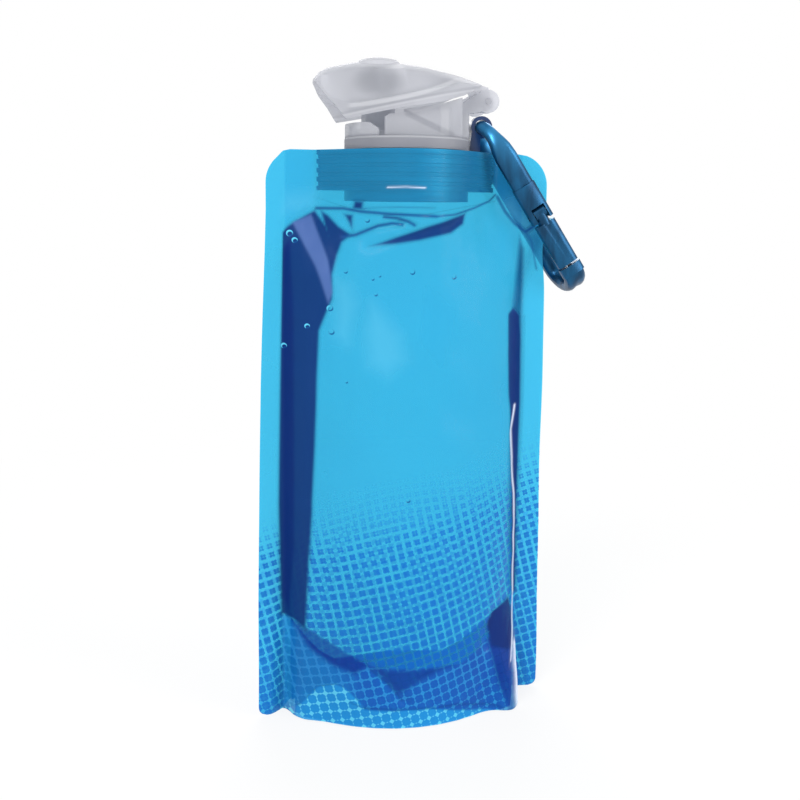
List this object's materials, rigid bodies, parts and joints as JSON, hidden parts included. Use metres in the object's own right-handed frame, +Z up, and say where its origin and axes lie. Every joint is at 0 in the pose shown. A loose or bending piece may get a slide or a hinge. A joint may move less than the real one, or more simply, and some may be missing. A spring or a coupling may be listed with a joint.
{
  "type": "collapsible water bottle",
  "caption": "Collapsible pouch water bottle standing filled, with side seals, a folded bottom, a welded neck, a screw cap with a flip lid and spout, and a clip on an eyelet.",
  "frame": {"origin": "on the floor under the middle of the folded bottom's flat belly", "axes": "+X to the right towards the clip, -Y towards the viewer of the printed front, +Z up"},
  "size_m": [0.1263, 0.0576, 0.2455],
  "materials": {
    "film": "clear blue laminated film",
    "blue_plastic": "moulded",
    "frosted_plastic": "frosted translucent",
    "silicone": "matte",
    "anodised": "blue anodised",
    "steel": "plain",
    "brass": "plain"
  },
  "bodies": {
    "root": {"neck_fitment": "blue_plastic", "bottom_gusset": "film"},
    "front_panel": {"front_film": "film"},
    "back_panel": {"back_film": "film"},
    "liner": {"cap_liner": "silicone"},
    "cap": {"cap_shell": "frosted_plastic", "drinking_spout": "frosted_plastic", "hinge_pin": "frosted_plastic"},
    "lid": {"flip_lid": "frosted_plastic", "lid_plug": "silicone"},
    "carabiner": {"carabiner_body": "anodised", "gate_rivet": "steel"},
    "gate": {"carabiner_gate": "anodised", "latch_pin": "steel", "gate_spring": "steel"},
    "plunger": {"gate_plunger": "brass"}
  },
  "joints": [
    {"name": "pouch_flatten", "type": "slide", "parent": "root", "child": "front_panel", "axis": [0, 1, 0], "range_m": [0, 0.024], "deforming": ["front_film", "back_film", "bottom_gusset"]},
    {"name": "back_flatten", "type": "slide", "parent": "root", "child": "back_panel", "axis": [0, -1, 0], "range_m": [0, 0.024]},
    {"name": "liner_lift", "type": "slide", "parent": "root", "child": "liner", "axis": [0, 0, 1], "range_m": [0, 0.012]},
    {"name": "cap_unscrew", "type": "hinge", "parent": "liner", "child": "cap", "pos_m": [0, 0, 0.212], "axis": [0, 0, 1], "range_deg": [0, 540]},
    {"name": "lid_flip", "type": "hinge", "parent": "cap", "child": "lid", "pos_m": [0.0287, 0, 0.2306], "axis": [0, 1, 0], "range_deg": [0, 110]},
    {"name": "carabiner_swing", "type": "hinge", "parent": "root", "child": "carabiner", "pos_m": [0.0285, 0, 0.2216], "axis": [0, -1, 0], "range_deg": [0, 75]},
    {"name": "gate_open", "type": "hinge", "parent": "carabiner", "child": "gate", "pos_m": [0.0492, -0.0095, 0.18973], "axis": [0.8387, 0, 0.5446], "range_deg": [0, 25], "stiffness_Nm_per_rad": 0.02, "springref_deg": -5.73},
    {"name": "plunger_slide", "type": "slide", "parent": "gate", "child": "plunger", "axis": [0.5446, 0, -0.8387], "range_m": [0, 0.001], "stiffness_N_per_m": 150, "springref_m": -0.002, "deforming": ["gate_spring"]}
  ],
  "couplings": [
    {"joint": "back_flatten", "follows": "pouch_flatten", "ratio": 1},
    {"joint": "liner_lift", "follows": "cap_unscrew", "m_per_rad": 0.0012732}
  ]
}
